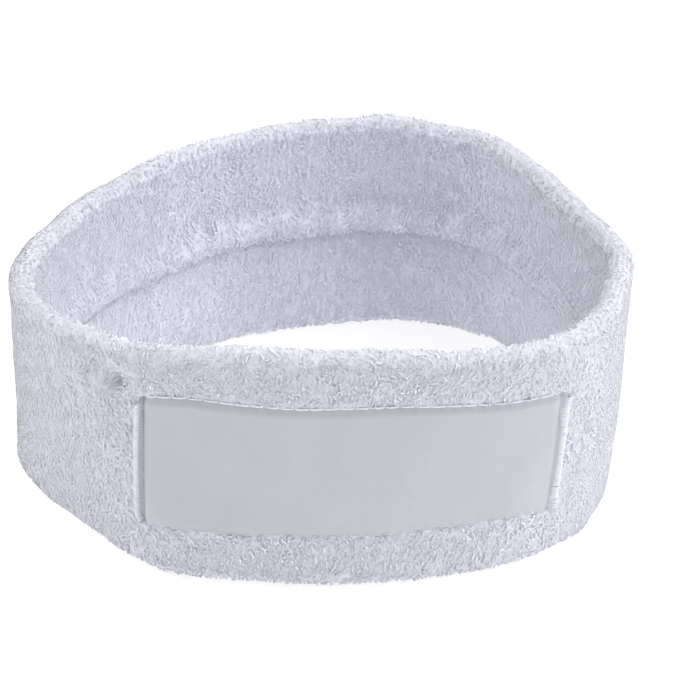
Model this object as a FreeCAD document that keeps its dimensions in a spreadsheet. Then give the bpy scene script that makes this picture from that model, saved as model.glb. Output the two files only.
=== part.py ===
import FreeCAD, Part

"""Terry sports headband (sweatband), in millimetres, resting on its lower fold.

The band is one knitted terry tube, folded lengthwise so that its two cut edges meet halfway up the inside,
where a linking seam joins them. So it has an outer ply, a fold at the top and at the bottom, and an upper
and a lower flap inside. The ground fabric carries inlaid elastic yarns on its hidden side and a deep pile
of cotton loops on the side that shows. A blank satin label is sewn to the front through the outer ply.

Frame: +Z up, -Y out of the label, +X to the wearer's left. The origin is under the middle of the band.

A section point is (out, up): out is the distance from the middle of the wall, positive away from the head,
and up is the height above the surface that the band rests on.
"""

import math
import os

SIZES = (
    ("band_height", 55.0, "from the lower fold to the upper fold"),
    ("inner_gap", 1.2, "between the two plies, where the elastic yarns lie"),
    ("ground_thickness", 0.8, "knitted ground of one ply"),
    ("pile_thickness", 1.8, "loops of one ply, uncrushed"),
    ("rest_strip", 1.6, "width of the lower fold that is pressed flat by the band's weight"),
    ("seam_height", 27.0, "where the two flaps meet"),
    ("seam_gap", 1.2, "between the flaps' cut edges, filled by the linking thread"),
    ("lip_depth", 1.7, "how far the upper flap's puffed edge stands proud"),
    ("lip_rise", 9.0, "height over which the upper flap swells into its lip"),
    ("elastic_diameter", 0.44, "covered elastic yarn"),
    ("elastic_pitch", 3.0, "one elastic yarn to the next"),
    ("label_right_end", 43.6, "from the label's middle to its end on the wearer's right, across the front"),
    ("label_left_end_low", 41.5, "the same on the left, level with the lower fold, where the band slumps in"),
    ("label_left_end_high", 45.7, "the same, level with the upper fold"),
    ("label_bottom", 12.2, "lower edge of the label"),
    ("label_top", 42.0, "upper edge of the label"),
    ("label_thickness", 0.3, "one layer of satin"),
    ("label_hem", 4.0, "turned under along the label's long edges"),
    ("label_dip", 0.5, "how far the stitches pull those edges into the pile"),
    ("label_dip_rise", 2.0, "over what height they do so"),
    ("label_sink", 0.45, "label's face below the tops of the loops"),
    ("thread_diameter", 0.36, "needle thread of the lockstitch lines"),
    ("bobbin_diameter", 0.24, "bobbin thread, on the hidden side of the outer ply"),
    ("stitch_inset", 0.5, "lockstitch line from the label's long edge"),
    ("column_width", 2.3, "satin-stitch column over each short edge of the label"),
    ("column_height", 26.6, "its length, up the band"),
    ("column_proud", 0.25, "its face above the tops of the loops"),
    ("fit_clearance", 0.05, "between the label and the pile that it presses on"),
    ("middle_x", -6.75, "the loops' own middle, which moves to the origin"),
    ("middle_y", 0.85, "the same, front to back"),
)

# The middle of the wall, seen from above, at its top and at its bottom edge. Both loops start at the middle
# of the label and go round by the wearer's left, in steps of about 22 mm. The soft band doesn't stand quite
# upright: its front is held flat by the label, and one front corner has slumped in at the bottom.
TOP_LOOP = (
    (0.0, -59.6), (21.5, -59.2), (41.0, -54.2), (53.4, -37.5), (58.2, -15.5), (52.8, 6.6),
    (44.6, 27.4), (33.0, 46.5), (14.0, 59.3), (-8.0, 58.8), (-28.5, 49.5), (-45.0, 35.0),
    (-57.5, 16.0), (-67.0, -4.5), (-69.3, -26.0), (-58.8, -46.0), (-40.0, -57.5), (-21.0, -59.2),
)
BOTTOM_LOOP = (
    (0.0, -59.6), (21.0, -56.2), (40.0, -46.8), (51.0, -30.0), (55.3, -9.0), (53.5, 12.0),
    (47.5, 32.5), (35.5, 52.2), (15.0, 61.2), (-7.0, 59.8), (-27.5, 52.7), (-46.0, 39.5),
    (-60.0, 23.5), (-69.6, 5.0), (-70.3, -14.6), (-57.6, -33.6), (-43.0, -51.2), (-22.0, -58.9),
)
STATIONS = len(TOP_LOOP)
ROUND = math.sqrt(0.5)  # weight of the corner point of a quarter circle

doc = FreeCAD.newDocument("terry_headband")
sheet = doc.addObject("Spreadsheet::Sheet", "sizes")
for row, (alias, value, note) in enumerate(SIZES, start=1):
    sheet.set(f"A{row}", note)
    sheet.set(f"B{row}", str(value))
    sheet.setAlias(f"B{row}", alias)
doc.recompute()


def size(alias):
    return float(sheet.get(alias))


HEIGHT = size("band_height")
GROUND_IN = size("inner_gap") / 2
GROUND_OUT = GROUND_IN + size("ground_thickness")
PILE_OUT = GROUND_OUT + size("pile_thickness")
LOWER_END = size("seam_height") - size("seam_gap") / 2
UPPER_END = size("seam_height") + size("seam_gap") / 2


# ---------------------------------------------------------------- free-form rings


def loop_point(station, up):
    """A point of the wall's middle, as (x, y), at one station and height."""
    low, high = BOTTOM_LOOP[station % STATIONS], TOP_LOOP[station % STATIONS]
    share = up / HEIGHT
    x = low[0] + (high[0] - low[0]) * share - size("middle_x")
    y = low[1] + (high[1] - low[1]) * share - size("middle_y")
    return x, y


def wall_point(station, out, up):
    """The same point moved out of the wall's middle, square to the chord between its neighbours."""
    before, here, after = (loop_point(station + step, up) for step in (-1, 0, 1))
    along_x, along_y = after[0] - before[0], after[1] - before[1]
    length = math.hypot(along_x, along_y)
    return FreeCAD.Vector(here[0] + out * along_y / length, here[1] - out * along_x / length, up)


def loop_poles(out, up):
    """Poles of the closed cubic spline through a section point's place at every station."""
    through = [wall_point(station, out, up) for station in range(STATIONS)]
    poles = list(through)
    for _ in range(40):  # each pass halves what is left of the error
        poles = [
            (through[i] * 6 - poles[i - 1] - poles[(i + 1) % STATIONS]) * 0.25 for i in range(STATIONS)
        ]
    return poles


def ring_face(edge):
    """The face that one section edge sweeps: 2 points make a flat strip, 3 a quarter round."""
    rows = [loop_poles(out, up) for out, up in edge]
    poles = [[row[i] for row in rows] for i in range(STATIONS)]
    weights = [[1.0, ROUND, 1.0] if len(edge) == 3 else [1.0, 1.0]] * STATIONS
    surface = Part.BSplineSurface()
    surface.buildFromPolesMultsKnots(
        poles, [1] * (STATIONS + 1), [len(edge)] * 2, list(range(STATIONS + 1)), [0, 1],
        True, False, 3, len(edge) - 1, weights,
    )
    return surface.toShape()


def level_face(edge):
    """A true plane where a section edge lies level, between the two closed curves that bound it."""
    rims = []
    for out, up in edge:
        rim = Part.BSplineCurve()
        rim.buildFromPolesMultsKnots(
            loop_poles(out, up), [1] * (STATIONS + 1), list(range(STATIONS + 1)), True, 3
        )
        rims.append(Part.Wire([rim.toShape()]))
    return Part.makeFace(rims, "Part::FaceMakerBullseye")


def ring(edges):
    """The closed ring that a closed section sweeps round the band."""
    faces = [level_face(e) if len(e) == 2 and e[0][1] == e[1][1] == 0 else ring_face(e) for e in edges]
    shell = Part.Shell(faces)
    shell.sewShape()
    solid = Part.Solid(shell)
    if solid.Volume < 0:
        solid.reverse()
    return solid


def polygon(points):
    """Section edges of a polygon."""
    return [(points[i - 1], points[i]) for i in range(1, len(points))] + [(points[-1], points[0])]


def yarn(out, up, diameter):
    """Section edges of a yarn: an octagon with the area of the yarn's round section."""
    corner = diameter / 2 * math.sqrt(math.pi / (2 * math.sqrt(2)))
    angles = [math.pi / 8 + i * math.pi / 4 for i in range(8)]
    return polygon([(out + corner * math.cos(a), up + corner * math.sin(a)) for a in angles])


def half_fold(reach, height, upward):
    """Two quarter rounds over the top fold (upward 1) or under the bottom one (upward -1), outside to inside."""
    crest = height + upward * reach
    return [
        ((reach, height), (reach, crest), (0.0, crest)),
        ((0.0, crest), (-reach, crest), (-reach, height)),
    ]


def turned(edges):
    """The same edges, walked the other way."""
    return [tuple(reversed(edge)) for edge in reversed(edges)]


# ---------------------------------------------------------------- document helpers


def feature(name, shape):
    made = doc.addObject("Part::Feature", name)
    made.Shape = shape
    made.Placement = FreeCAD.Placement()
    return made


def window(name, right, left, grow="0"):
    """A block that cuts a length of the band's front out of a ring, from one end line to the other.

    Each end is a pair of expressions, level with the lower and with the upper fold. The wedge's own Y
    is turned to point up."""
    block = doc.addObject("Part::Wedge", name)
    block.setExpression("Xmin", f"{right[0]} - ({grow})")
    block.setExpression("X2min", f"{right[1]} - ({grow})")
    block.setExpression("Xmax", f"{left[0]} + ({grow})")
    block.setExpression("X2max", f"{left[1]} + ({grow})")
    for low, high in (("Ymin", "Ymax"), ("Zmin", "Zmax"), ("Z2min", "Z2max")):
        block.setExpression(low, "0")
        block.setExpression(high, "sizes.band_height")
    block.Placement = FreeCAD.Placement(FreeCAD.Vector(), FreeCAD.Rotation(FreeCAD.Vector(1, 0, 0), 90))
    block.setExpression("Placement.Base.x", "-sizes.middle_x")
    block.setExpression("Placement.Base.y", "-0.5 * sizes.band_height")
    return block


def combined(kind, name, base, tool):
    made = doc.addObject(kind, name)
    made.Base = base
    made.Tool = tool
    return made


# ---------------------------------------------------------------- the folded terry tube

FOLD_UP = HEIGHT - PILE_OUT  # centre of the top fold
FOLD_DOWN = PILE_OUT  # centre of the bottom fold


def ground_section():
    """The knitted ground: a C that is open at the seam."""
    outside = [((-GROUND_OUT, LOWER_END), (-GROUND_OUT, FOLD_DOWN))]
    outside += turned(half_fold(GROUND_OUT, FOLD_DOWN, -1))
    outside += [((GROUND_OUT, FOLD_DOWN), (GROUND_OUT, FOLD_UP))]
    outside += half_fold(GROUND_OUT, FOLD_UP, 1)
    outside += [((-GROUND_OUT, FOLD_UP), (-GROUND_OUT, UPPER_END))]
    inside = [((-GROUND_IN, UPPER_END), (-GROUND_IN, FOLD_UP))]
    inside += turned(half_fold(GROUND_IN, FOLD_UP, 1))
    inside += [((GROUND_IN, FOLD_UP), (GROUND_IN, FOLD_DOWN))]
    inside += half_fold(GROUND_IN, FOLD_DOWN, -1)
    inside += [((-GROUND_IN, FOLD_DOWN), (-GROUND_IN, LOWER_END))]
    upper_cut = [((-GROUND_OUT, UPPER_END), (-GROUND_IN, UPPER_END))]
    lower_cut = [((-GROUND_IN, LOWER_END), (-GROUND_OUT, LOWER_END))]
    return outside + upper_cut + inside + lower_cut


def pile_section():
    """The loops: a skin round the ground, with the puffed lip of the upper flap over the seam."""
    lip_out = -PILE_OUT - size("lip_depth")
    lip_up = UPPER_END + size("lip_depth")
    lip_start = UPPER_END + size("lip_rise")
    half_strip = size("rest_strip") / 2
    roll = PILE_OUT - half_strip
    outside = [
        ((-PILE_OUT, LOWER_END), (-PILE_OUT, roll)),
        ((-PILE_OUT, roll), (-PILE_OUT, 0.0), (-half_strip, 0.0)),
        ((-half_strip, 0.0), (half_strip, 0.0)),
        ((half_strip, 0.0), (PILE_OUT, 0.0), (PILE_OUT, roll)),
        ((PILE_OUT, roll), (PILE_OUT, FOLD_UP)),
    ]
    outside += half_fold(PILE_OUT, FOLD_UP, 1)
    outside += [
        ((-PILE_OUT, FOLD_UP), (-PILE_OUT, lip_start)),
        ((-PILE_OUT, lip_start), (lip_out, lip_up)),
        ((lip_out, lip_up), (lip_out, UPPER_END), (-PILE_OUT, UPPER_END)),
    ]
    inside = [((-GROUND_OUT, UPPER_END), (-GROUND_OUT, FOLD_UP))]
    inside += turned(half_fold(GROUND_OUT, FOLD_UP, 1))
    inside += [((GROUND_OUT, FOLD_UP), (GROUND_OUT, FOLD_DOWN))]
    inside += half_fold(GROUND_OUT, FOLD_DOWN, -1)
    inside += [((-GROUND_OUT, FOLD_DOWN), (-GROUND_OUT, LOWER_END))]
    upper_cut = [((-PILE_OUT, UPPER_END), (-GROUND_OUT, UPPER_END))]
    lower_cut = [((-GROUND_OUT, LOWER_END), (-PILE_OUT, LOWER_END))]
    return outside + upper_cut + inside + lower_cut


def elastic_yarns(out, lowest, highest):
    """Inlaid elastic yarns on the hidden side of one ply, a whole number of pitches up the band."""
    count = int((highest - lowest) / size("elastic_pitch")) + 1
    start = (lowest + highest - (count - 1) * size("elastic_pitch")) / 2
    rings = [
        ring(yarn(out, start + i * size("elastic_pitch"), size("elastic_diameter"))) for i in range(count)
    ]
    return Part.makeCompound(rings)


# ---------------------------------------------------------------- the label and its stitches

RIGHT_END = ("-sizes.label_right_end",) * 2
LEFT_END = ("sizes.label_left_end_low", "sizes.label_left_end_high")
LABEL_LOW, LABEL_HIGH = size("label_bottom"), size("label_top")
LABEL_FACE = PILE_OUT - size("label_sink")
LABEL_EDGE = LABEL_FACE - size("label_dip")  # the face where the stitches pull it in


def label_section():
    """One layer of satin, two where its long edges are turned under, pulled in along those edges."""
    sheet_back, hem_back = LABEL_FACE - size("label_thickness"), LABEL_FACE - 2 * size("label_thickness")
    edge_back = LABEL_EDGE - 2 * size("label_thickness")
    low, high, rise, hem = LABEL_LOW, LABEL_HIGH, size("label_dip_rise"), size("label_hem")
    face = [(LABEL_EDGE, low), (LABEL_FACE, low + rise), (LABEL_FACE, high - rise), (LABEL_EDGE, high)]
    back = [
        (edge_back, high), (hem_back, high - rise), (hem_back, high - hem), (sheet_back, high - hem),
        (sheet_back, low + hem), (hem_back, low + hem), (hem_back, low + rise), (edge_back, low),
    ]
    return polygon(face + back)


def pocket_section():
    """What the label and its columns press out of the pile, down to the label's back and a clearance."""
    ease = size("fit_clearance")
    sheet_back = LABEL_FACE - size("label_thickness") - ease
    hem_back = sheet_back - size("label_thickness")
    edge_back = hem_back - size("label_dip")
    low, high = LABEL_LOW - ease, LABEL_HIGH + ease
    rise, hem = size("label_dip_rise") + ease, size("label_hem") + 2 * ease
    clear_of_pile = PILE_OUT + size("pile_thickness")
    return polygon([
        (clear_of_pile, low), (clear_of_pile, high), (edge_back, high), (hem_back, high - rise),
        (hem_back, high - hem), (sheet_back, high - hem), (sheet_back, low + hem), (hem_back, low + hem),
        (hem_back, low + rise), (edge_back, low),
    ])


def bobbin_column_section():
    """The same column's bobbin thread, flat between the outer ply's elastic yarns and the flap's."""
    middle, half = (LABEL_LOW + LABEL_HIGH) / 2, size("column_height") / 2
    out = size("bobbin_diameter") / 2
    return polygon([
        (-out, middle - half), (out, middle - half), (out, middle + half), (-out, middle + half)
    ])


def column_section():
    """A satin-stitch column: a soft-edged bar that lies on the label's face."""
    middle, half = (LABEL_LOW + LABEL_HIGH) / 2, size("column_height") / 2
    back, face = LABEL_FACE + size("fit_clearance") / 2, PILE_OUT + size("column_proud")
    soft = (face - back) / 2
    return polygon([
        (back, middle - half), (face - soft, middle - half), (face, middle - half + soft),
        (face, middle + half - soft), (face - soft, middle + half), (back, middle + half),
    ])


def stitch_line(name, up, out, diameter):
    """A straight run of sewing thread across the label, cut from a ring of it."""
    whole = feature(name + "_ring", ring(yarn(out, up, diameter)))
    run = window(name + "_window", RIGHT_END, LEFT_END, "-sizes.column_width")
    return combined("Part::Common", name, whole, run)


# ---------------------------------------------------------------- building

parts = {}

parts["terry_ground_fabric"] = feature("ground", ring(ground_section()))

pocket_ring = feature("pocket_ring", ring(pocket_section()))
pocket_window = window(
    "pocket_window", RIGHT_END, LEFT_END, "sizes.column_width / 2 + sizes.fit_clearance"
)
pocket = combined("Part::Common", "pocket", pocket_ring, pocket_window)
parts["terry_pile_loops"] = combined("Part::Cut", "pile", feature("pile_ring", ring(pile_section())), pocket)

YARN_OUT = GROUND_IN - size("elastic_diameter") * 0.6
YARN_EDGE = size("elastic_diameter")
parts["elastic_yarns_outer_ply"] = feature(
    "elastic_outer", elastic_yarns(YARN_OUT, FOLD_DOWN + YARN_EDGE, FOLD_UP - YARN_EDGE)
)
parts["elastic_yarns_upper_flap"] = feature(
    "elastic_upper", elastic_yarns(-YARN_OUT, UPPER_END + YARN_EDGE, FOLD_UP - YARN_EDGE)
)
parts["elastic_yarns_lower_flap"] = feature(
    "elastic_lower", elastic_yarns(-YARN_OUT, FOLD_DOWN + YARN_EDGE, LOWER_END - YARN_EDGE)
)

# The linking chain fills the gap between the cut edges, and the looper thread runs over it under the lip.
chain = [(-GROUND_IN, LOWER_END), (-GROUND_IN, UPPER_END), (-GROUND_OUT, UPPER_END), (-GROUND_OUT, LOWER_END)]
parts["join_seam_linking_thread"] = feature("linking", ring(polygon(chain)))
LOOPER = size("seam_gap") * 0.8
parts["join_seam_looper_thread"] = feature(
    "looper", ring(yarn(-GROUND_OUT - LOOPER * 0.55, size("seam_height"), LOOPER))
)

label_ring = feature("label_ring", ring(label_section()))
label = combined("Part::Common", "label", label_ring, window("label_window", RIGHT_END, LEFT_END))
parts["satin_label"] = label

column_ring = feature("column_ring", ring(column_section()))
bobbin_ring = feature("bobbin_ring", ring(bobbin_column_section()))
for side, end in (("right", RIGHT_END), ("left", LEFT_END)):  # the wearer's right is at -X
    place = window(f"column_{side}_window", end, end, "sizes.column_width / 2")
    parts[f"label_{side}_satin_stitch"] = combined("Part::Common", f"column_{side}", column_ring, place)
    parts[f"label_{side}_satin_bobbin"] = combined("Part::Common", f"bobbin_{side}", bobbin_ring, place)

FACE_SLOPE = size("label_dip") / size("label_dip_rise")
FACE_THREAD = LABEL_EDGE + FACE_SLOPE * size("stitch_inset") + size("thread_diameter") * 0.62
for edge, up in (("top", LABEL_HIGH - size("stitch_inset")), ("bottom", LABEL_LOW + size("stitch_inset"))):
    parts[f"label_{edge}_needle_thread"] = stitch_line(
        f"needle_{edge}", up, FACE_THREAD, size("thread_diameter")
    )
    parts[f"label_{edge}_bobbin_thread"] = stitch_line(
        f"bobbin_{edge}", up, 0.0, size("bobbin_diameter")
    )

doc.recompute()

# ---------------------------------------------------------------- checks and export

for made in doc.Objects:
    if "Invalid" in made.State or "Error" in made.State:
        raise RuntimeError(f"{made.Name} is {made.State}")

os.makedirs("parts", exist_ok=True)
for stale in os.listdir("parts"):
    os.remove(os.path.join("parts", stale))
for name, made in parts.items():
    made.Label = name
    shape = made.Shape
    if shape.isNull() or not shape.isValid() or not shape.Solids:
        raise RuntimeError(f"{name} has no valid solid")
    box = shape.optimalBoundingBox(False)
    print(
        f"{name}: {len(shape.Solids)} solids, {shape.Volume:.1f} mm3, "
        f"x {box.XMin:.2f} {box.XMax:.2f}, y {box.YMin:.2f} {box.YMax:.2f}, z {box.ZMin:.2f} {box.ZMax:.2f}"
    )
    shape.exportStep(os.path.join("parts", name + ".step"))
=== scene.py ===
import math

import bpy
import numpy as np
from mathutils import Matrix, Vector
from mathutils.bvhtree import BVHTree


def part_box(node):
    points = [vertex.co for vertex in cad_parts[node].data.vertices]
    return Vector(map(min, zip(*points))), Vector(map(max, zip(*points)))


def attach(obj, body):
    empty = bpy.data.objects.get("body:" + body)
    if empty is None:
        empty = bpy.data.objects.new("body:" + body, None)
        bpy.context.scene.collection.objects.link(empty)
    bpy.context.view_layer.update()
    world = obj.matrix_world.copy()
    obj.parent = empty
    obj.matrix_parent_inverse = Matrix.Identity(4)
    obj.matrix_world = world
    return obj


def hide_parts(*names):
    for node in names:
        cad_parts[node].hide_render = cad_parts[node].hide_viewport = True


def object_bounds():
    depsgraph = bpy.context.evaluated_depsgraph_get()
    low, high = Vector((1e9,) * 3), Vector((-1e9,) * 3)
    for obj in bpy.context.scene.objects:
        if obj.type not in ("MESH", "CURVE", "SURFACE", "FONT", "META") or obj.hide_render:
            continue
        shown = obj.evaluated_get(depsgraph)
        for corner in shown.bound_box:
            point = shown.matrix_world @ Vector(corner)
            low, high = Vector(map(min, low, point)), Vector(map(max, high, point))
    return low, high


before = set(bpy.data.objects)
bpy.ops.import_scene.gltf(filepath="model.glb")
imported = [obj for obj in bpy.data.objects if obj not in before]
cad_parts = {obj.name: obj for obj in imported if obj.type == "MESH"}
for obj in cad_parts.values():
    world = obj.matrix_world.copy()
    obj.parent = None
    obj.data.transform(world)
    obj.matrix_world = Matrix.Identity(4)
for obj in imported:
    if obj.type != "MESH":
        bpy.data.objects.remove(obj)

# The looks of a terry sports headband. Lengths here are millimetres, and meshes are made in metres.
#
# A place on the band is (run, out, up): run is the way round the wall from the label's middle, towards the
# wearer's left; out is the distance from the wall's middle, positive away from the head; up is the height.
#
# A place on the folded section is (c, reach): c is the way round the section from the lower flap's cut edge
# to the upper flap's lip, and reach is the height over the wall's middle surface.

MM = 0.001
TURN = 2 * math.pi
rng = np.random.default_rng(20261)
CAD_LOW, CAD_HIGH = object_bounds()


def smooth(share):
    """From 0 to 1, level at both ends."""
    share = np.clip(share, 0, 1)
    return share * share * (3 - 2 * share)


def bell(gap, width):
    """A smooth bump, 1 at its middle."""
    return np.exp(-((gap / width) ** 2))


# ---------------------------------------------------------------- sizes, read from the frame


def node_range(node, axis):
    """A CAD node's lowest and highest place along an axis, in millimetres."""
    low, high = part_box(node)
    return low[axis] / MM, high[axis] / MM


HEIGHT = CAD_HIGH.z / MM
PILE = node_range("terry_ground_fabric", 2)[0]  # thickness of the loops, which reach down to the floor
SEAM_LOW, SEAM_HIGH = node_range("join_seam_linking_thread", 2)
SEAM_MIDDLE = (SEAM_LOW + SEAM_HIGH) / 2
LABEL_BOTTOM, LABEL_TOP = node_range("satin_label", 2)
COLUMN_BOTTOM, COLUMN_TOP = node_range("label_right_satin_stitch", 2)


def label_ends():
    """x of the label's two ends, each at its bottom and at its top: they lean with the slumped wall."""
    points = np.array([v.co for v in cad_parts["satin_label"].data.vertices]) / MM
    near = 0.5  # a point this near to an edge's height is on that edge
    low = points[points[:, 2] < LABEL_BOTTOM + near, 0]
    high = points[points[:, 2] > LABEL_TOP - near, 0]
    return (low.min(), high.min()), (low.max(), high.max())


LABEL_START, LABEL_END = label_ends()
LABEL_MIDDLE = (sum(LABEL_START) + sum(LABEL_END)) / 4

# ---------------------------------------------------------------- the wall, read from the frame

STATIONS = 2048  # places round the band where the wall's middle is kept
LEVELS = np.array([5.0, 11.0, 17.0, 23.0, 31.0, 37.0, 43.0, 50.0])  # and heights, clear of folds and seam
OUTLINE_WAVES = 24  # the outline keeps this many waves round the band, which smooths the CAD mesh's facets
BEARINGS = 720  # rays at each level
FINE_STEPS = 8192  # steps in which the way round is added up
WELL_OUTSIDE = 0.2  # metres from the axis


def read_radii():
    """The wall's middle as (level, bearing) distances from the axis, its bearings, and its thickness.

    At each level, rays from the axis and from outside meet the ground fabric's two outer faces."""
    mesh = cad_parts["terry_ground_fabric"].data
    tree = BVHTree.FromPolygons([v.co for v in mesh.vertices], [p.vertices for p in mesh.polygons])
    bearings = np.linspace(-math.pi, math.pi, BEARINGS, endpoint=False)
    radii = np.zeros((len(LEVELS), BEARINGS))
    thick = []
    for i, level in enumerate(LEVELS):
        for j, bearing in enumerate(bearings):
            axis = Vector((0, 0, level * MM))
            away = Vector((math.cos(bearing), math.sin(bearing), 0))
            inner = (tree.ray_cast(axis, away)[0] - axis).length
            outer = (tree.ray_cast(axis + away * WELL_OUTSIDE, -away)[0] - axis).length
            radii[i, j] = (inner + outer) / 2 / MM
            thick.append((outer - inner) / MM)
    return radii, bearings, min(thick)


def read_wall():
    """The wall's middle as points (level, station, xy), evenly spaced round the band, and its length.

    The last value is the distance from the middle to the ground fabric's outer face."""
    radii, bearings, thick = read_radii()
    waves = np.fft.rfft(radii, axis=1)
    waves[:, OUTLINE_WAVES:] = 0
    smoothed = np.fft.irfft(waves, n=BEARINGS, axis=1)
    closed = np.concatenate([smoothed, smoothed[:, :1]], axis=1)
    angles = np.append(bearings, math.pi)
    dense = np.linspace(-math.pi, math.pi, FINE_STEPS + 1)
    middle = np.interp(dense, angles, closed.mean(0))
    x, y = middle * np.cos(dense), middle * np.sin(dense)
    along = np.concatenate([[0], np.cumsum(np.hypot(np.diff(x), np.diff(y)))])
    front = np.where(y < 0)[0]
    start = along[front[np.argmin(np.abs(x[front] - LABEL_MIDDLE))]]
    length = along[-1]
    at = np.interp((start + np.arange(STATIONS) * length / STATIONS) % length, along, dense)
    rows = [np.interp(at, angles, r) for r in closed]
    points = np.stack([np.stack([r * np.cos(at), r * np.sin(at)], axis=1) for r in rows])
    return points, length, thick / 2


WALL, LENGTH, GROUND = read_wall()  # GROUND: the ground fabric's face, out from the wall's middle
HALF = GROUND + PILE  # the loops' tips, out from the wall's middle
STEP = LENGTH / STATIONS
TANGENT_REACH = 2.0  # the wall's direction is taken over this much to each side


def middle_at(run, up):
    """(N, 2) places of the wall's middle."""
    station = np.asarray(run, float) / STEP
    low = np.floor(station).astype(int)
    share = (station - low)[:, None]
    level = np.clip(np.searchsorted(LEVELS, up) - 1, 0, len(LEVELS) - 2)
    rise = ((up - LEVELS[level]) / (LEVELS[level + 1] - LEVELS[level]))[:, None]
    a, b = low % STATIONS, (low + 1) % STATIONS
    below = WALL[level, a] * (1 - share) + WALL[level, b] * share
    above = WALL[level + 1, a] * (1 - share) + WALL[level + 1, b] * share
    return below * (1 - rise) + above * rise


def from_front(run):
    """The run as a distance from the label's middle, negative on the wearer's right."""
    return (np.asarray(run) + LENGTH / 2) % LENGTH - LENGTH / 2


def wave(run, up, count, lean, phase):
    """One wave: count of them round the band, leaning by lean for each millimetre up."""
    return np.sin(TURN * count * np.asarray(run) / LENGTH + lean * np.asarray(up) + phase)


def bump_at(run, up, where, height, width, rise):
    """A smooth bump at one place of the wall, 1 at its middle, with a half width and a half height."""
    return bell(from_front(np.asarray(run) - where), width) * bell(np.asarray(up) - height, rise)


SLACK = [  # (size, waves round the band, lean, phase): the soft fabric's gentle unevenness
    (0.30, 7, 0.05, 0.4),
    (0.24, 11, -0.07, 2.1),
    (0.18, 17, 0.11, 4.0),
    (0.12, 29, -0.16, 1.2),
]
LABEL_HOLDS = 0.6  # the label's cloth takes away this share of it,
HOLD_WIDTH, HOLD_HEIGHT = 48.0, 30.0  # over this half width and half height
CREASE = [  # (size, run, height, half width, half height): a soft crease from the fold down to a dimple
    (-1.0, -55.5, 53.0, 3.5, 5.0),
    (-1.3, -51.0, 49.5, 3.0, 4.0),
    (-2.6, -46.7, 45.4, 2.0, 2.2),
    (0.8, -43.5, 51.5, 5.0, 3.0),
    (0.9, -54.5, 44.0, 5.0, 4.0),
]
FOOT = [  # (size, run, height, half width, half height): where the foot of the wall stands out or in
    (1.0, 53.0, 6.0, 6.0, 14.0),
    (-0.8, -54.0, 5.0, 9.0, 14.0),
]
RIM = [  # (rise, run, half width): the top edge wanders gently up and down
    (0.8, -22.0, 12.0),
    (-0.5, 22.0, 9.0),
    (1.0, 179.0, 7.0),
    (1.1, 148.0, 11.0),
    (0.7, -154.0, 9.0),
    (-0.7, 108.0, 6.0),
]
RIM_DEEP = 8.0  # how far down the wall that wander reaches


def rim_rise(run, up):
    """How far the soft wall rises over its height in the frame."""
    return sum(rise * bump_at(run, up, where, HEIGHT, width, RIM_DEEP) for rise, where, width in RIM)


def slack(run, up):
    """How far the soft wall strays out from the frame's smooth one."""
    label = bump_at(run, up, 0, (LABEL_BOTTOM + LABEL_TOP) / 2, HOLD_WIDTH, HOLD_HEIGHT)
    moved = sum(size * wave(run, up, *rest) for size, *rest in SLACK) * (1 - LABEL_HOLDS * label)
    return moved + sum(size * bump_at(run, up, *rest) for size, *rest in CREASE + FOOT)


def place(run, out, up):
    """(N, 3) places in millimetres."""
    run, out, up = np.broadcast_arrays(*(np.asarray(v, float) for v in (run, out, up)))
    run, out, up = run.ravel(), out.ravel(), up.ravel()
    along = middle_at(run + TANGENT_REACH, up) - middle_at(run - TANGENT_REACH, up)
    along /= np.linalg.norm(along, axis=1)[:, None]
    normal = np.stack([along[:, 1], -along[:, 0]], axis=1)
    flat = middle_at(run, up) + normal * (out + slack(run, up))[:, None]
    return np.column_stack([flat, up + rim_rise(run, up)])


# ---------------------------------------------------------------- where the label lies

LABEL_FACE = HALF - 0.45  # sunk a little below the loops' tips
FRONT_REACH, FRONT_STEPS = 60, 960  # the stretch of the front, each way, that the label is looked for in

# The label's edges bow up and down, as soft cloth does under the needle.
# Each bump is (rise, run, half width before it, half width after it).
BOTH_EDGES = [(1.25, 13.0, 25.0, 42.0)]
TOP_EDGE = [(2.4, -33.0, 12.0, 15.5), (-0.5, 32.0, 9.0, 9.0)]
BOTTOM_EDGE = [(-0.65, 8.0, 13.0, 10.0), (-1.5, -44.5, 3.5, 3.5), (-1.5, 45.0, 5.0, 5.0)]


def end_x(end, up):
    """One of the label's ends at this height, from its places at the label's bottom and top."""
    return end[0] + (end[1] - end[0]) * (np.asarray(up) - LABEL_BOTTOM) / (LABEL_TOP - LABEL_BOTTOM)


def end_run(end):
    """The run of one of the label's ends, at its bottom and at its top, on the label's face."""
    runs = np.linspace(-FRONT_REACH, FRONT_REACH, FRONT_STEPS + 1)
    return [
        float(np.interp(x, place(runs, LABEL_FACE, np.full(len(runs), up))[:, 0], runs))
        for x, up in zip(end, (LABEL_BOTTOM, LABEL_TOP))
    ]


START_RUN, END_RUN = end_run(LABEL_START), end_run(LABEL_END)
START_RUN[0] -= 1.2  # the label is sewn on a little askew
END_RUN[0] += 0.3
LABEL_LONG = (sum(END_RUN) - sum(START_RUN)) / 2


def label_run(across, up):
    """The run at a share across the label, 0 at its start and 1 at its end."""
    start, end = end_x(START_RUN, up), end_x(END_RUN, up)
    return start + (end - start) * np.asarray(across)


def bow(run, waves):
    """The sum of lopsided bumps along an edge of the label."""
    total = np.zeros(np.shape(run))
    for rise, where, before, after in waves:
        gap = np.asarray(run) - where
        total = total + rise * bell(gap, np.where(gap < 0, before, after))
    return total


def label_rise(run, up):
    """How far a place on the label lies above its height on an unbowed label."""
    share = np.clip((up - LABEL_BOTTOM) / (LABEL_TOP - LABEL_BOTTOM), 0, 1)
    return bow(run, BOTH_EDGES) + share * bow(run, TOP_EDGE) + (1 - share) * bow(run, BOTTOM_EDGE)


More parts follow.
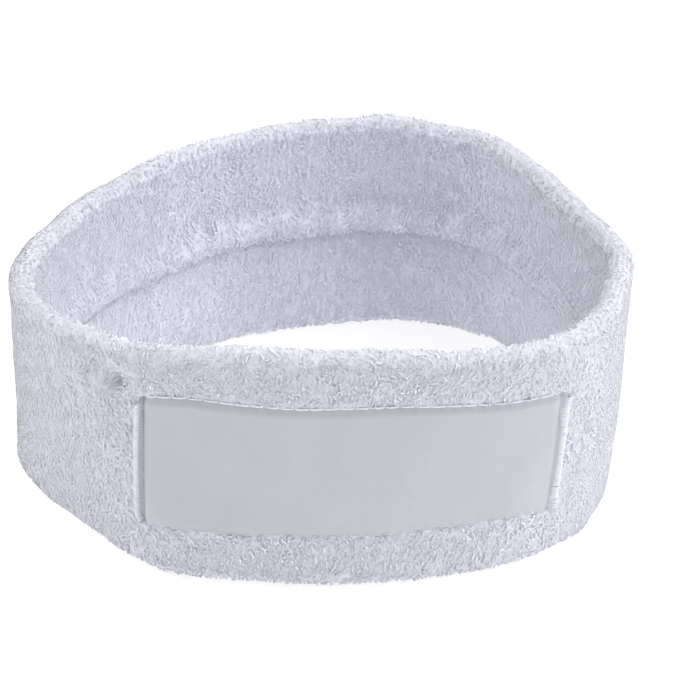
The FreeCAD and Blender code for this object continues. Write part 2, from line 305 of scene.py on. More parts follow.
def on_label(across, out, up):
    """(N, 3) places on the label, up before it bows."""
    run = label_run(across, up)
    return place(run, out, up + label_rise(run, up))


# ---------------------------------------------------------------- the folded section

FOLD_UP, FOLD_DOWN = HEIGHT - HALF, HALF  # centres of the two folds
LIP = 3.0  # how far the upper flap's puffed edge stands proud of the flap
LIP_START = SEAM_HIGH + 7.5
LIP_ROUND = 1.7  # radius of the ground where it rolls under the lip
LIP_CENTRE = SEAM_HIGH + 2.2
SPREAD = GROUND + 0.5 * PILE  # loops are counted at this reach, so that they fan out evenly on the folds

# Stretches of the section, in order round it, and their lengths at SPREAD.
LOWER_FLAP, LOWER_FOLD, OUTER_PLY, UPPER_FOLD, UPPER_FLAP, LIP_ROLL = range(6)
STRETCHES = np.array([
    SEAM_LOW - FOLD_DOWN,
    math.pi * SPREAD,
    FOLD_UP - FOLD_DOWN,
    math.pi * SPREAD,
    FOLD_UP - LIP_CENTRE,
    math.pi / 2 * (LIP_ROUND + 0.5 * PILE),
])
MARKS = np.concatenate([[0], np.cumsum(STRETCHES)])
AROUND = MARKS[-1]


def stretch_at(c):
    """Which stretch of the section each place is in."""
    return np.clip(np.searchsorted(MARKS, c, side="right") - 1, 0, len(STRETCHES) - 1)


def swell(up):
    """How far the upper flap's edge has swollen inwards at this height."""
    return LIP * smooth((LIP_START - up) / (LIP_START - LIP_CENTRE))


def section(c, reach):
    """(out, up) at a place c round the section and a height reach over the wall's middle surface."""
    c = np.asarray(c, float)
    reach = np.broadcast_to(np.asarray(reach, float), c.shape)
    part = stretch_at(c)
    inside = c - MARKS[part]
    turn = math.pi * inside / STRETCHES[LOWER_FOLD]
    out = np.zeros(c.shape)
    up = np.zeros(c.shape)
    lower, under, outer, over, upper, lip = (part == k for k in range(len(STRETCHES)))
    out[lower], up[lower] = -reach[lower], SEAM_LOW - inside[lower]
    out[under] = (reach * np.cos(math.pi + turn))[under]
    up[under] = (FOLD_DOWN + reach * np.sin(math.pi + turn))[under]
    out[outer], up[outer] = reach[outer], FOLD_DOWN + inside[outer]
    out[over] = (reach * np.cos(turn))[over]
    up[over] = (FOLD_UP + reach * np.sin(turn))[over]
    up[upper] = FOLD_UP - inside[upper]
    out[upper] = -reach[upper] - swell(up[upper])
    roll = math.pi + math.pi / 2 * inside / STRETCHES[LIP_ROLL]
    ball = LIP_ROUND + reach - GROUND
    out[lip] = (-GROUND - LIP + LIP_ROUND + ball * np.cos(roll))[lip]
    up[lip] = (LIP_CENTRE + ball * np.sin(roll))[lip]
    return out, up


# ---------------------------------------------------------------- mesh helpers


def mesh_object(name, points, faces, material, rounded=True, normals=None):
    """A mesh from points in millimetres and an (N, sides) array of faces."""
    mesh = bpy.data.meshes.new(name)
    faces = np.asarray(faces, np.int32)
    count, sides = faces.shape
    mesh.vertices.add(len(points))
    mesh.vertices.foreach_set("co", (np.asarray(points) * MM).astype(np.float32).ravel())
    mesh.loops.add(count * sides)
    mesh.loops.foreach_set("vertex_index", faces.ravel())
    mesh.polygons.add(count)
    mesh.polygons.foreach_set("loop_start", np.arange(0, count * sides, sides, dtype=np.int32))
    mesh.polygons.foreach_set("use_smooth", np.full(count, rounded))
    mesh.update(calc_edges=True)
    mesh.validate()
    if normals is not None:
        mesh.normals_split_custom_set_from_vertices(normals)
    mesh.materials.append(material)
    piece = bpy.data.objects.new(name, mesh)
    bpy.context.scene.collection.objects.link(piece)
    return piece


def finish_piece(piece, nodes=()):
    """Every piece rides on the one body, and may stand for CAD nodes."""
    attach(piece, "root")
    if nodes:
        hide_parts(*nodes)


def tubes(paths, radius, sides, closed=False):
    """Points and quads of round tubes. paths is (tube, point, xyz)."""
    paths = np.asarray(paths, float)
    many, long, _ = paths.shape
    if closed:
        ahead = np.roll(paths, -1, axis=1) - np.roll(paths, 1, axis=1)
    else:
        ahead = np.gradient(paths, axis=1)
    ahead /= np.linalg.norm(ahead, axis=2)[..., None] + 1e-12
    if closed:
        across = np.array([0.0, 0.0, 1.0])
    else:
        # An open path bends in one plane, and the small vector stands in where it is straight.
        tilt = np.array([0.013, 0.017, 0.011])
        across = np.cross(ahead[:, :1], ahead[:, long // 2:long // 2 + 1] + tilt)
    side = np.cross(across, ahead)
    side /= np.linalg.norm(side, axis=2)[..., None] + 1e-12
    up = np.cross(ahead, side)
    angles = np.arange(sides) * TURN / sides
    ring = side[:, :, None] * np.cos(angles)[:, None] + up[:, :, None] * np.sin(angles)[:, None]
    points = (paths[:, :, None] + ring * radius).reshape(-1, 3)
    spans = long if closed else long - 1
    i, j, k = np.meshgrid(np.arange(many), np.arange(spans), np.arange(sides), indexing="ij")
    i, j, k = i.ravel(), j.ravel(), k.ravel()
    base = i * long * sides
    near, far = base + j * sides, base + ((j + 1) % long) * sides
    turn = (k + 1) % sides
    faces = np.column_stack([near + k, near + turn, far + turn, far + k])
    return points, faces


def join(*parts):
    """Several (points, faces) as one."""
    faces, count = [], 0
    for points, quads in parts:
        faces.append(quads + count)
        count += len(points)
    return np.concatenate([points for points, _ in parts]), np.concatenate(faces)


def grid_faces(rows, columns, wrap_rows=False, wrap_columns=False):
    """Quads of a grid whose points run along columns first."""
    i, j = np.meshgrid(
        np.arange(rows if wrap_rows else rows - 1),
        np.arange(columns if wrap_columns else columns - 1), indexing="ij",
    )
    i, j = i.ravel(), j.ravel()
    i2, j2 = (i + 1) % rows, (j + 1) % columns
    return np.column_stack([i * columns + j, i * columns + j2, i2 * columns + j2, i2 * columns + j])


# ---------------------------------------------------------------- materials

MIX_FACTOR, MIX_A, MIX_B, MIX_COLOUR = 0, 6, 7, 2  # the colour sockets of a Mix node, by number


def new_material(name, colour, roughness, sheen=0.0, specular=0.5):
    """A plain fabric material, its node tree and its shader."""
    material = bpy.data.materials.new(name)
    material.use_nodes = True
    shader = material.node_tree.nodes["Principled BSDF"]
    shader.inputs["Base Color"].default_value = (*colour, 1)
    shader.inputs["Roughness"].default_value = roughness
    shader.inputs["Sheen Weight"].default_value = sheen
    shader.inputs["Sheen Roughness"].default_value = 0.6
    shader.inputs["Specular IOR Level"].default_value = specular
    return material, material.node_tree, shader


def noise_node(tree, where, scale, detail):
    noise = tree.nodes.new("ShaderNodeTexNoise")
    noise.inputs["Scale"].default_value = scale
    noise.inputs["Detail"].default_value = detail
    tree.links.new(where.outputs["Object"], noise.inputs["Vector"])
    return noise.outputs["Fac"]


def colour_noise(tree, shader, low, high, scale):
    """The base colour wanders between two colours. Returns the coordinates' node."""
    where = tree.nodes.new("ShaderNodeTexCoord")
    ramp = tree.nodes.new("ShaderNodeValToRGB")
    for element, position, colour in zip(ramp.color_ramp.elements, (0.3, 0.7), (low, high)):
        element.position = position
        element.color = (*colour, 1)
    tree.links.new(noise_node(tree, where, scale, 3.0), ramp.inputs["Fac"])
    tree.links.new(ramp.outputs["Color"], shader.inputs["Base Color"])
    return where


def bump(tree, shader, height, distance):
    """Relief from a height socket, distance deep in metres."""
    node = tree.nodes.new("ShaderNodeBump")
    node.inputs["Distance"].default_value = distance
    node.inputs["Strength"].default_value = 1.0
    tree.links.new(height, node.inputs["Height"])
    tree.links.new(node.outputs["Normal"], shader.inputs["Normal"])


def fabric(name, colour, low, high, roughness, grain, fibres, depth, sheen=0.0, specular=0.5):
    """Yarn whose colour wanders from low to high, with fine fibres. Returns its shader too."""
    material, tree, shader = new_material(name, colour, roughness, sheen, specular)
    where = colour_noise(tree, shader, low, high, grain)
    bump(tree, shader, noise_node(tree, where, fibres, 2.0), depth)
    return material, shader


def terry(name, low, high, grain, fibres, depth):
    """Cotton pile. Light spreads through it, which softens every loop's shade."""
    colour = (0.79, 0.805, 0.88)
    material, shader = fabric(
        name, colour, low, high, 0.95, grain, fibres, depth, sheen=0.35, specular=0.1
    )
    shader.subsurface_method = "BURLEY"
    shader.inputs["Subsurface Weight"].default_value = 0.62
    shader.inputs["Subsurface Radius"].default_value = (1.0, 1.0, 1.0)
    shader.inputs["Subsurface Scale"].default_value = 0.0025
    return material


def thread(name, colour, roughness, sheen):
    """Sewing or covering thread, a little darker between its fibres."""
    darker = tuple(c * 0.93 for c in colour)
    material, _ = fabric(name, colour, darker, colour, roughness, 900.0, 7000.0, 0.00005, sheen)
    return material


# This distance also places the satin's painted shade along its top edge.
BELOW_TOP = "below_top"  # on the label's mesh: how far below its top edge each point lies


def painted_top_shade(tree, shader):
    """Painted shade: the satin is darkened in a band within about 2.3 mm of its top edge, standing for the
    shadow that the proud pile above casts on it.
    """
    below_top = tree.nodes.new("ShaderNodeAttribute")
    below_top.attribute_name = BELOW_TOP
    edge_band = tree.nodes.new("ShaderNodeMapRange")
    edge_band.inputs["From Min"].default_value = 2.3
    edge_band.inputs["From Max"].default_value = 1.4
    edge_band.inputs["To Min"].default_value = 0.0
    edge_band.inputs["To Max"].default_value = 0.45
    mix = tree.nodes.new("ShaderNodeMix")
    mix.data_type = "RGBA"
    # The colour of the painted shade.
    mix.inputs[MIX_B].default_value = (0.40, 0.41, 0.46, 1)
    tree.links.new(below_top.outputs["Fac"], edge_band.inputs["Value"])
    tree.links.new(edge_band.outputs["Result"], mix.inputs[MIX_FACTOR])
    tree.links.new(shader.inputs["Base Color"].links[0].from_socket, mix.inputs[MIX_A])
    tree.links.new(mix.outputs[MIX_COLOUR], shader.inputs["Base Color"])


def satin():
    """Polyester satin, with a fine diagonal twill."""
    colour = (0.55, 0.565, 0.63)
    material, tree, shader = new_material("label_satin", colour, 0.5, sheen=0.1, specular=0.35)
    where = colour_noise(tree, shader, (0.54, 0.555, 0.61), (0.57, 0.585, 0.64), 60.0)
    # Painted shade along the label's top edge, where the pile above would shadow it.
    painted_top_shade(tree, shader)
    mapping = tree.nodes.new("ShaderNodeMapping")
    mapping.inputs["Rotation"].default_value = (0, math.radians(32), 0)
    twill = tree.nodes.new("ShaderNodeTexWave")
    twill.bands_direction = "X"
    twill.inputs["Scale"].default_value = 560.0
    twill.inputs["Distortion"].default_value = 0.6
    twill.inputs["Detail"].default_value = 1.0
    tree.links.new(where.outputs["Object"], mapping.inputs["Vector"])
    tree.links.new(mapping.outputs["Vector"], twill.inputs["Vector"])
    bump(tree, shader, twill.outputs["Fac"], 0.000022)
    return material


TERRY = terry("terry_loops", (0.765, 0.778, 0.868), (0.81, 0.823, 0.918), 420.0, 5200.0, 0.00006)
TERRY_BED = terry("terry_bed", (0.76, 0.773, 0.863), (0.82, 0.833, 0.93), 900.0, 2200.0, 0.0003)
GROUND_KNIT, _ = fabric(
    "ground_knit", (0.8, 0.81, 0.84), (0.72, 0.73, 0.77), (0.84, 0.85, 0.88),
    0.95, 600.0, 1500.0, 0.0002, specular=0.2,
)
SATIN = satin()
EMBROIDERY = thread("embroidery_thread", (0.90, 0.92, 0.985), 0.3, 0.4)
SEWING = thread("sewing_thread", (0.88, 0.90, 0.97), 0.5, 0.1)
SEAM = thread("seam_thread", (0.84, 0.845, 0.86), 0.8, 0.1)
BOBBIN = thread("bobbin_thread", (0.86, 0.865, 0.88), 0.7, 0.1)
ELASTIC = thread("covered_elastic", (0.82, 0.825, 0.84), 0.6, 0.1)

# ---------------------------------------------------------------- the ground fabric

GROUND_THICK = 0.8
GROUND_RUNS = 480
GROUND_MESH = 0.9  # spacing of its points round the section


def make_ground():
    """One folded tube of knit, closed all round: its outer face, and its hidden face inside the fold."""
    runs = np.linspace(0, LENGTH, GROUND_RUNS, endpoint=False)
    c = np.concatenate([
        np.linspace(a, b, max(int((b - a) / GROUND_MESH), 8), endpoint=False)
        for a, b in zip(MARKS[:-1], MARKS[1:])
    ] + [[AROUND - 1e-6]])
    faces_out = section(c, GROUND)
    faces_in = section(c, GROUND - GROUND_THICK)
    out, up = (np.concatenate([a, b[::-1]]) for a, b in zip(faces_out, faces_in))
    points = place(runs[:, None], out[None], up[None])
    faces = grid_faces(len(runs), len(out), wrap_rows=True, wrap_columns=True)
    piece = mesh_object("terry_ground", points, faces, GROUND_KNIT)
    finish_piece(piece, ["terry_ground_fabric"])


# ---------------------------------------------------------------- the pile

BED = 0.7  # the tangle of the loops' feet fills this share of the pile's height
CALM_BED = 0.08  # and this much more where the pile lies calm
BED_RUNS, BED_ROWS = 900, 260  # points of its mesh
BED_UNDER_LABEL = 0.3
WALE, COURSE = 1.04, 0.9  # loop spacing round the band and along the section
YARN = 0.21  # radius of the pile yarn
LOOP_POINTS, LOOP_SIDES = 6, 3
SOFTNESS = 0.73  # fuzz hides how the yarn is rounded: this much of its shading is the cloth's
CALM_SOFTNESS = 0.07  # and this much more where the pile lies calm
CALM = 0.6  # the share of the loops' disorder that is missing there
CALM_FROM, CALM_TO = 48, 155  # the calm stretch of each side, as distances from the label's middle,
CALM_GROWS, CALM_FADES = 14, 20  # and the lengths over which it comes and goes
JITTER = 0.16  # how far a root strays from its row
FOLD_LINE = MARKS[UPPER_FOLD] + 0.8 * STRETCHES[UPPER_FOLD]  # where the top fold's roll meets the inner flat


def field(run, c, seed, size):
    """A smooth random field over the fabric, about size mm from one patch to the next."""
    draw = np.random.default_rng(seed)
    waves = 14
    total = np.zeros(run.shape)
    for _ in range(waves):
        count = draw.integers(1, int(LENGTH / size))
        rise = draw.normal(0, TURN / size / 2)
        total += np.sin(TURN * count * run / LENGTH + rise * c + draw.uniform(0, TURN))
    return total / math.sqrt(waves / 2)


def calm_at(run):
    """How calm and regular the pile lies: 0 at the front and the back, 1 on the two sides."""
    away = np.abs(from_front(run))
    return smooth((away - CALM_FROM) / CALM_GROWS) * smooth((CALM_TO - away) / CALM_FADES)


def combed_at(run, out, up):
    """How far the tufts below the label are combed one way, from 0 to 1."""
    return np.where(out > 0, bump_at(run, up, 3, 4, 45, 9), 0)


def pile_height(run, c):
    """The loops' height: less at the seam's lower edge, more on the lip, and broken by the groove inside the
    top fold."""
    height = PILE * (1 - 0.35 * bell(c, 1.2)) * (1 + 0.35 * bell(AROUND - 1.5 - c, 3.0))
    groove = bell(c - FOLD_LINE - 0.25 * field(run, 0 * c, 21, 5.0), 0.6)
    return height * (1 - groove * np.clip(0.3 + 0.3 * field(run, c, 23, 1.5), 0, 0.6))


def under_label(run, out, up, margin):
    """Whether a root is under the label or its columns, or within margin of them."""
    run = from_front(run)
    up = up - label_rise(run, up)
    beside_column = (up > COLUMN_BOTTOM) & (up < COLUMN_TOP)
    past_start = run > end_x(START_RUN, up) - 0.3 * beside_column - margin
    past_end = run < end_x(END_RUN, up) + 0.9 * beside_column + margin
    low, high = LABEL_BOTTOM - margin, LABEL_TOP + margin + 0.2
    return past_start & past_end & (out > 0) & (up > low) & (up < high)


def make_bed():
    """The tangled feet of the loops, as one lumpy skin over the ground that shows between the loops."""
    runs = np.linspace(0, LENGTH, BED_RUNS, endpoint=False)
    run, c = (v.ravel() for v in np.meshgrid(runs, np.linspace(0, AROUND, BED_ROWS), indexing="ij"))
    out, up = section(c, GROUND)
    depth = (BED + CALM_BED * calm_at(run)) * pile_height(run, c)
    depth = np.where(under_label(run, out, up, -0.6), BED_UNDER_LABEL, depth)
    depth = depth + 0.1 * field(run, c, 11, 1.4)
    out, up = section(c, GROUND + depth)
    points = place(run, out, np.maximum(up, 0.05))
    piece = mesh_object("pile_bed", points, grid_faces(BED_RUNS, BED_ROWS, wrap_rows=True), TERRY_BED)
    finish_piece(piece)


def loop_roots():
    """(run, c) of every loop, in rows that stagger a little."""
    wales, courses = round(LENGTH / WALE), round(AROUND / COURSE)
    i, j = np.meshgrid(np.arange(wales), np.arange(courses), indexing="ij")
    even = (i + 0.25 * (j % 2)) * LENGTH / wales
    stray = JITTER * (1 - CALM * calm_at(even))
    run = even + rng.normal(0, 1, i.shape) * stray
    c = (j + 0.5) * AROUND / courses + rng.normal(0, 1, i.shape) * stray
    return run.ravel() % LENGTH, np.clip(c.ravel(), 0.05, AROUND - 0.05)


def loop_axes(run, c):
    """Each loop's root, and the fabric's directions there: away from it, along the run, and across."""
    out, up = section(c, GROUND)
    root = place(run, out, up)
    away = place(run, *section(c, GROUND + 1.0)) - root
    away /= np.linalg.norm(away, axis=1)[:, None]
    along = place(run + 0.5, out, up) - place(run - 0.5, out, up)
    along -= away * (along * away).sum(1)[:, None]
    along /= np.linalg.norm(along, axis=1)[:, None]
    return root, away, along, np.cross(away, along)


def make_loops(run, c):
    """Points, quads and normals of the loops rooted at these places."""
    count = len(run)
    calm = calm_at(run)
    order = 1 - CALM * calm
    combed = combed_at(run, *section(c, GROUND))
    root, away, along, across = loop_axes(run, c)
    height = pile_height(run, c) * (1 + rng.uniform(-0.12, 0.1, count) * order)
    width = rng.uniform(0.7, 1.05, count)
    width += (0.9 - width) * CALM * calm
    # Each loop's plane is mostly up the band, as the loops' streaks are, and it leans with its neighbours.
    stray = 0.45 * field(run, c, 3, 6.0) + rng.normal(0, 0.5, count)
    angle = math.pi / 2 + stray * (1 - 0.7 * combed) * order
    plane = along * np.cos(angle)[:, None] + across * np.sin(angle)[:, None]
    lean_along = 0.28 * field(run, c, 5, 5.0) + rng.normal(0, 0.22, count)
    lean_across = 0.30 * field(run, c, 7, 4.0) + rng.normal(0, 0.28, count) + 0.35 * combed
    lean = along * (lean_along * order)[:, None] + across * (lean_across * order)[:, None]
    share = np.arange(LOOP_POINTS) / (LOOP_POINTS - 1)
    arch = np.sin(math.pi * share)
    lateral = -np.cos(math.pi * share) * (1 + 0.3 * arch) / 2
    paths = (
        root[:, None]
        + plane[:, None] * (lateral[None] * width[:, None])[..., None]
        + away[:, None] * ((height - YARN)[:, None] * arch[None] ** 0.75)[..., None]
        + lean[:, None] * (arch[None] ** 1.5)[..., None]
    )
    paths[..., 2] = np.maximum(paths[..., 2], YARN + 0.02)
    points, faces = tubes(paths, YARN, LOOP_SIDES)
    round_yarn = (points - np.repeat(paths.reshape(-1, 3), LOOP_SIDES, axis=0)) / YARN
    cloth = np.repeat(away, LOOP_POINTS * LOOP_SIDES, axis=0)
    soft = np.repeat(SOFTNESS + CALM_SOFTNESS * calm, LOOP_POINTS * LOOP_SIDES)[:, None]
    return points, faces, round_yarn * (1 - soft) + cloth * soft


def make_pile():
    """The loops, as one piece for each region of the band."""
    make_bed()
    run, c = loop_roots()
    keep = ~under_label(run, *section(c, GROUND), 0.35)
    run, c = run[keep], c[keep]
    part = stretch_at(c)
    quarter = ((run + LENGTH / 8) % LENGTH // (LENGTH / 4)).astype(int)
    left = (quarter == 1) | (quarter == 2)
    regions = {
        f"pile_outer_{name}": (part == OUTER_PLY) & (quarter == k)
        for k, name in enumerate(("front", "left", "back", "right"))
    }
    regions["pile_upper_fold"] = part == UPPER_FOLD
    regions["pile_lower_fold"] = part == LOWER_FOLD
    for flap, inside in (("upper", part >= UPPER_FLAP), ("lower", part == LOWER_FLAP)):
        regions[f"pile_{flap}_flap_left"] = inside & left
        regions[f"pile_{flap}_flap_right"] = inside & ~left
    for name, chosen in regions.items():
        points, faces, normals = make_loops(run[chosen], c[chosen])
        piece = mesh_object(name, points, faces, TERRY, normals=normals)
        finish_piece(piece, ["terry_pile_loops"])


# ---------------------------------------------------------------- yarns and seam threads

ELASTIC_RADIUS = 0.22
ELASTIC_OUT = 0.33  # from the wall's middle, into the yarn's own ply
ELASTIC_POINTS = 240
CHAIN_PITCH = 1.9  # one loop of the linking chain to the next
CHAIN_POINTS = 8  # to a loop


def make_elastic():
    """Covered elastic yarns between the plies, at the heights that the frame gives each group."""
    runs = np.linspace(0, LENGTH, ELASTIC_POINTS, endpoint=False)
    for node, count, out in (
        ("elastic_yarns_outer_ply", 16, ELASTIC_OUT),
        ("elastic_yarns_upper_flap", 8, -ELASTIC_OUT),
        ("elastic_yarns_lower_flap", 8, -ELASTIC_OUT),
    ):
        low, high = node_range(node, 2)
        heights = np.linspace(low + ELASTIC_RADIUS, high - ELASTIC_RADIUS, count)
        rings = np.stack([place(runs, out, height) for height in heights])
        piece = mesh_object(node + "_covered", *tubes(rings, ELASTIC_RADIUS, 6, closed=True), ELASTIC)
        finish_piece(piece, [node])


def make_seam():
    """The linking chain: a needle thread that hops between the cut edges, and the looper thread beside it."""
    count = round(LENGTH / CHAIN_PITCH)
    run = np.linspace(0, LENGTH, count * CHAIN_POINTS, endpoint=False)
    phase = TURN * count * run / LENGTH
    linking = place(run, -GROUND + 0.25 + 0.2 * np.cos(2 * phase), SEAM_MIDDLE + 0.55 * np.sin(phase))
    piece = mesh_object("join_seam_linking", *tubes(linking[None], 0.22, 5, closed=True), SEAM)
    finish_piece(piece, ["join_seam_linking_thread"])
    aside, above = 0.18 * np.sin(phase), 0.16 * np.cos(phase)
    chain = [place(run, -GROUND - 0.5 + sign * aside, SEAM_MIDDLE + sign * above) for sign in (1, -1)]
    piece = mesh_object("join_seam_looper", *tubes(np.stack(chain), 0.24, 5, closed=True), SEAM)
    finish_piece(piece, ["join_seam_looper_thread"])


# ---------------------------------------------------------------- the label

EDGE_DIP = 0.4  # the stitches pull the label's edges in
START_DIP, END_DIP = 1.2, 0.9  # and beside the satin-stitch columns it lies in a trench
HEM = 1.8  # where the turned-under cloth shows through as a step
HEM_STEP = 0.12
TURNED = 3.6  # width of the hems
SATIN_THICK = 0.2
LABEL_COLUMNS = 200  # points of its mesh across the label
NEAR_EDGE = 5.0  # its rows are closer this near to the long edges


def label_out(across, up):
    """The label's face, out from the wall's middle."""
    x = across * LABEL_LONG
    from_edge = np.minimum(up - LABEL_BOTTOM, LABEL_TOP - up)
    out = np.full(x.shape, LABEL_FACE + 0.2)
    out -= EDGE_DIP * (1 - smooth(from_edge / 2.0))
    out -= START_DIP * bell(x - 1.35, 0.75)
    out -= END_DIP * bell(LABEL_LONG - x - 1.5, 0.3)
    out -= HEM_STEP * (1 - smooth((from_edge - HEM + 0.2) / 0.4))
    out += 0.07 * bell(from_edge - 0.9, 1.2) * np.sin(TURN * x / 2.7)  # puckers between the stitches
    out += 0.10 * np.sin(x * 0.21 + 0.11 * up) * smooth(from_edge / 4)
    return out + 0.06 * np.sin(x * 0.43 - 0.2 * up + 1)


def make_label():
    """A strip of satin with its long edges folded under."""
    face = np.concatenate([
        np.linspace(LABEL_BOTTOM, LABEL_BOTTOM + NEAR_EDGE, 22, endpoint=False),
        np.linspace(LABEL_BOTTOM + NEAR_EDGE, LABEL_TOP - NEAR_EDGE, 26, endpoint=False),
        np.linspace(LABEL_TOP - NEAR_EDGE, LABEL_TOP, 22),
    ])
    edge_band = np.linspace(0, TURNED, 10)
    up = np.concatenate([(LABEL_BOTTOM + edge_band)[::-1], face, LABEL_TOP - edge_band])
    behind = np.concatenate([np.ones(len(edge_band)), np.zeros(len(face)), np.ones(len(edge_band))])
    across, up_grid = np.meshgrid(np.linspace(0, 1, LABEL_COLUMNS), up, indexing="ij")
    out = label_out(across, up_grid) - (SATIN_THICK + 0.03) * behind
    points = on_label(across, out, up_grid)
    piece = mesh_object("label", points, grid_faces(LABEL_COLUMNS, len(up)), SATIN)
    below = piece.data.attributes.new(BELOW_TOP, "FLOAT", "POINT")
    below.data.foreach_set("value", (LABEL_TOP - up_grid).astype(np.float32).ravel())
    thick = piece.modifiers.new("cloth", "SOLIDIFY")
    thick.thickness = SATIN_THICK * MM
    thick.offset = -1
    finish_piece(piece, ["satin_label"])


# ---------------------------------------------------------------- the label's stitches

STITCH = 3.1  # length of a lockstitch
STITCH_INSET = 1.4  # from the label's start to the first
STITCH_ARCH = 0.4
COLUMN_PITCH = 0.34  # one pass of the satin stitch to the next
BOBBIN_PITCH = 0.7
COLUMN_SUNK = 0.35  # the column's feet, below the label's face
COLUMN_POINTS = 9  # along one pass
TIES_SUNK, TIES_PITCH = 0.95, 0.62  # loose ties in the trench beside the narrow column
HOOK_HIGH, HOOK_LOW = 3.0, 2.5  # lengths of the column's drawn-aside ends


def stitch_paths(up, out, lift, points):
    """A row of stitches across the label, each one an arch that dips into the cloth at both ends."""
    start = STITCH_INSET / LABEL_LONG
    count = round((1 - start) * LABEL_LONG / STITCH)
    share = np.linspace(0, 1, points)[None]
    across = start + (np.arange(count)[:, None] + share * 0.96) * (1 - start) / count
    height = np.full(across.shape, up)
    arch = out(across, height) + lift + STITCH_ARCH * np.sin(math.pi * share) ** 0.3
    return on_label(across, arch, height).reshape(count, points, 3)


def wall_middle(across, up):
    """Where the bobbin threads lie."""
    return np.zeros(across.shape)


def make_stitches():
    """Lockstitch lines along the label's long edges, and their bobbin threads in the wall."""
    for edge, up, lift in (("top", LABEL_TOP - 0.15, 0.0), ("bottom", LABEL_BOTTOM + 0.35, -0.35)):
        needle = tubes(stitch_paths(up, label_out, lift, 11), 0.19, 6)
        piece = mesh_object(f"label_{edge}_stitches", *needle, SEWING)
        finish_piece(piece, [f"label_{edge}_needle_thread"])
        bobbin = tubes(stitch_paths(up, wall_middle, 0.0, 7), 0.12, 5)
        piece = mesh_object(f"label_{edge}_bobbin_stitches", *bobbin, BOBBIN)
        finish_piece(piece, [f"label_{edge}_bobbin_thread"])


def zigzag(end, width, pitch, face, crown, sharpness, hooks):
    """A thread that goes over and back across the column, crowned in its middle by crown.

    hooks are how far the column's bottom, top and middle are drawn aside."""
    count = int((COLUMN_TOP - COLUMN_BOTTOM) / pitch)
    share = np.linspace(0, 1, COLUMN_POINTS)[None]
    up = COLUMN_BOTTOM + (np.arange(count)[:, None] + share * 0.5) * pitch
    up = up + rng.normal(0, 0.04, (count, 1))
    half = width / 2 * (1 + rng.normal(0, 0.03, (count, 1)))
    from_top = np.clip((up - COLUMN_TOP + HOOK_HIGH) / HOOK_HIGH, 0, 1)
    from_bottom = np.clip((COLUMN_BOTTOM + HOOK_LOW - up) / HOOK_LOW, 0, 1)
    half = half * (1 - 0.35 * np.maximum(from_top, from_bottom) ** 2)
    middle = np.sin(math.pi * (up - COLUMN_BOTTOM) / (COLUMN_TOP - COLUMN_BOTTOM))
    low_hook, high_hook, sway = hooks
    aside = low_hook * from_bottom ** 2 + high_hook * from_top ** 2 + sway * middle
    run = end_x(end, up) + aside + half * (2 * share - 1)
    knots = 1 + 0.1 * rng.normal(0, 1, (count, 1))
    out = face + crown * np.sin(math.pi * share) ** sharpness * knots
    return place(run, out, up + label_rise(run, up)).reshape(count, COLUMN_POINTS, 3)


def shifted(end, by):
    return [run + by for run in end]


def make_columns():
    """Satin-stitch columns over the label's short edges, and their bobbin threads."""
    feet = LABEL_FACE - COLUMN_SUNK
    for side, end, width, hooks in (
        ("right", shifted(START_RUN, 0.3), 0.6, (0.6, 0.1, -0.1)),
        ("left", shifted(END_RUN, -0.4), 1.8, (-0.2, 0.9, 0.3)),
    ):
        column = tubes(zigzag(end, width, COLUMN_PITCH, feet, 1.2, 0.6, hooks), 0.21, 6)
        if side == "right":
            trench = shifted(START_RUN, 1.35)
            ties = zigzag(trench, 1.1, TIES_PITCH, LABEL_FACE - TIES_SUNK, 0.35, 1.0, hooks)
            column = join(column, tubes(ties, 0.13, 5))
        piece = mesh_object(f"label_{side}_column", *column, EMBROIDERY)
        finish_piece(piece, [f"label_{side}_satin_stitch"])
        bobbin = tubes(zigzag(end, width * 0.6, BOBBIN_PITCH, -0.1, 0.05, 1.0, hooks), 0.1, 4)
        piece = mesh_object(f"label_{side}_column_bobbin", *bobbin, BOBBIN)
        finish_piece(piece, [f"label_{side}_satin_bobbin"])


# ---------------------------------------------------------------- floor, light and camera

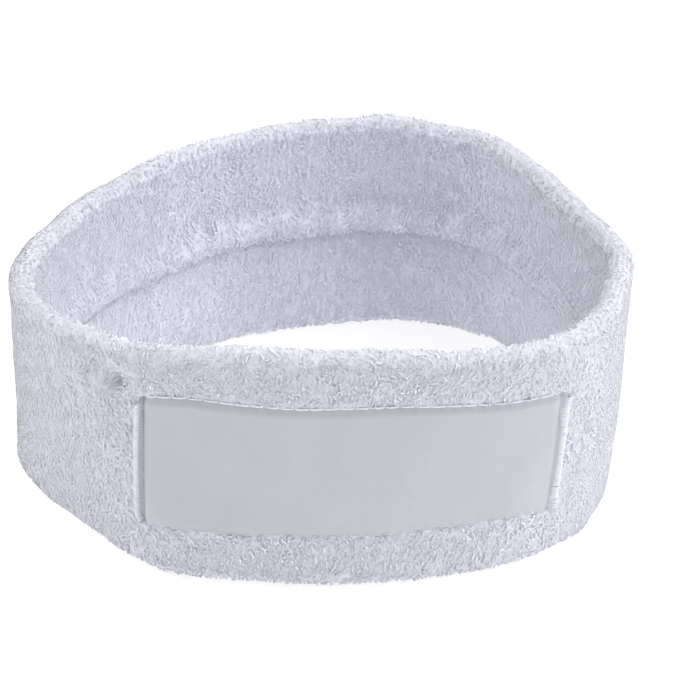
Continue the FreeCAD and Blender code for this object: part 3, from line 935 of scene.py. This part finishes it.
FLOOR_REACH = 3000
LIGHT_AIM = Vector((0, 0, 0.02))
LIGHTS = [  # (name, place in metres, size in metres, watts)
    ("right", (0.6, -0.1, 0.75), 1.0, 7.0),
    ("front_right", (0.6, -0.6, 0.5), 1.1, 2.8),
    ("left", (-0.85, -0.15, 0.4), 1.1, 3.3),
    ("upper_left", (-0.55, 0.0, 0.8), 1.0, 3.6),
    ("behind", (0.3, 0.8, 0.5), 1.0, 3.5),
]
CAMERA_PLACE = (0.00675, -0.5713, 0.32078)  # in metres
CAMERA_DOWN = 27.5  # degrees below level
CAMERA_LENS = 147.483


def make_stage():
    """A pale floor that glows a little, as a lit white table does."""
    material, _, shader = new_material("pale_floor", (0.5, 0.5, 0.5), 0.9, specular=0.0)
    shader.inputs["Emission Color"].default_value = (1, 1, 1, 1)
    shader.inputs["Emission Strength"].default_value = 0.65
    corners = np.array([[-1, -1, 0], [1, -1, 0], [1, 1, 0], [-1, 1, 0]], float) * FLOOR_REACH
    floor = mesh_object("floor", corners, [[0, 1, 2, 3]], material, rounded=False)


def make_light():
    """Soft studio light: large disks round the band, and a dim white world."""
    world = bpy.data.worlds.new("studio")
    world.use_nodes = True
    world.node_tree.nodes["Background"].inputs["Color"].default_value = (1, 1, 1, 1)
    world.node_tree.nodes["Background"].inputs["Strength"].default_value = 0.1
    bpy.context.scene.world = world
    for name, where, size, watts in LIGHTS:
        data = bpy.data.lights.new(name, "AREA")
        data.shape = "DISK"
        data.size = size
        data.energy = watts
        lamp = bpy.data.objects.new(name, data)
        lamp.location = where
        lamp.rotation_euler = (LIGHT_AIM - Vector(where)).to_track_quat("-Z", "Y").to_euler()
        bpy.context.scene.collection.objects.link(lamp)


def make_camera():
    data = bpy.data.cameras.new("camera")
    data.sensor_width = 36
    data.lens = CAMERA_LENS
    data.clip_start = 0.01
    data.clip_end = 20
    camera = bpy.data.objects.new("camera", data)
    camera.location = CAMERA_PLACE
    camera.rotation_euler = (math.radians(90 - CAMERA_DOWN), 0, 0)
    bpy.context.scene.collection.objects.link(camera)
    bpy.context.scene.camera = camera


make_camera()
make_light()
make_stage()
bpy.context.scene.view_settings.view_transform = "Standard"

make_ground()
make_pile()
make_elastic()
make_seam()
make_label()
make_stitches()
make_columns()
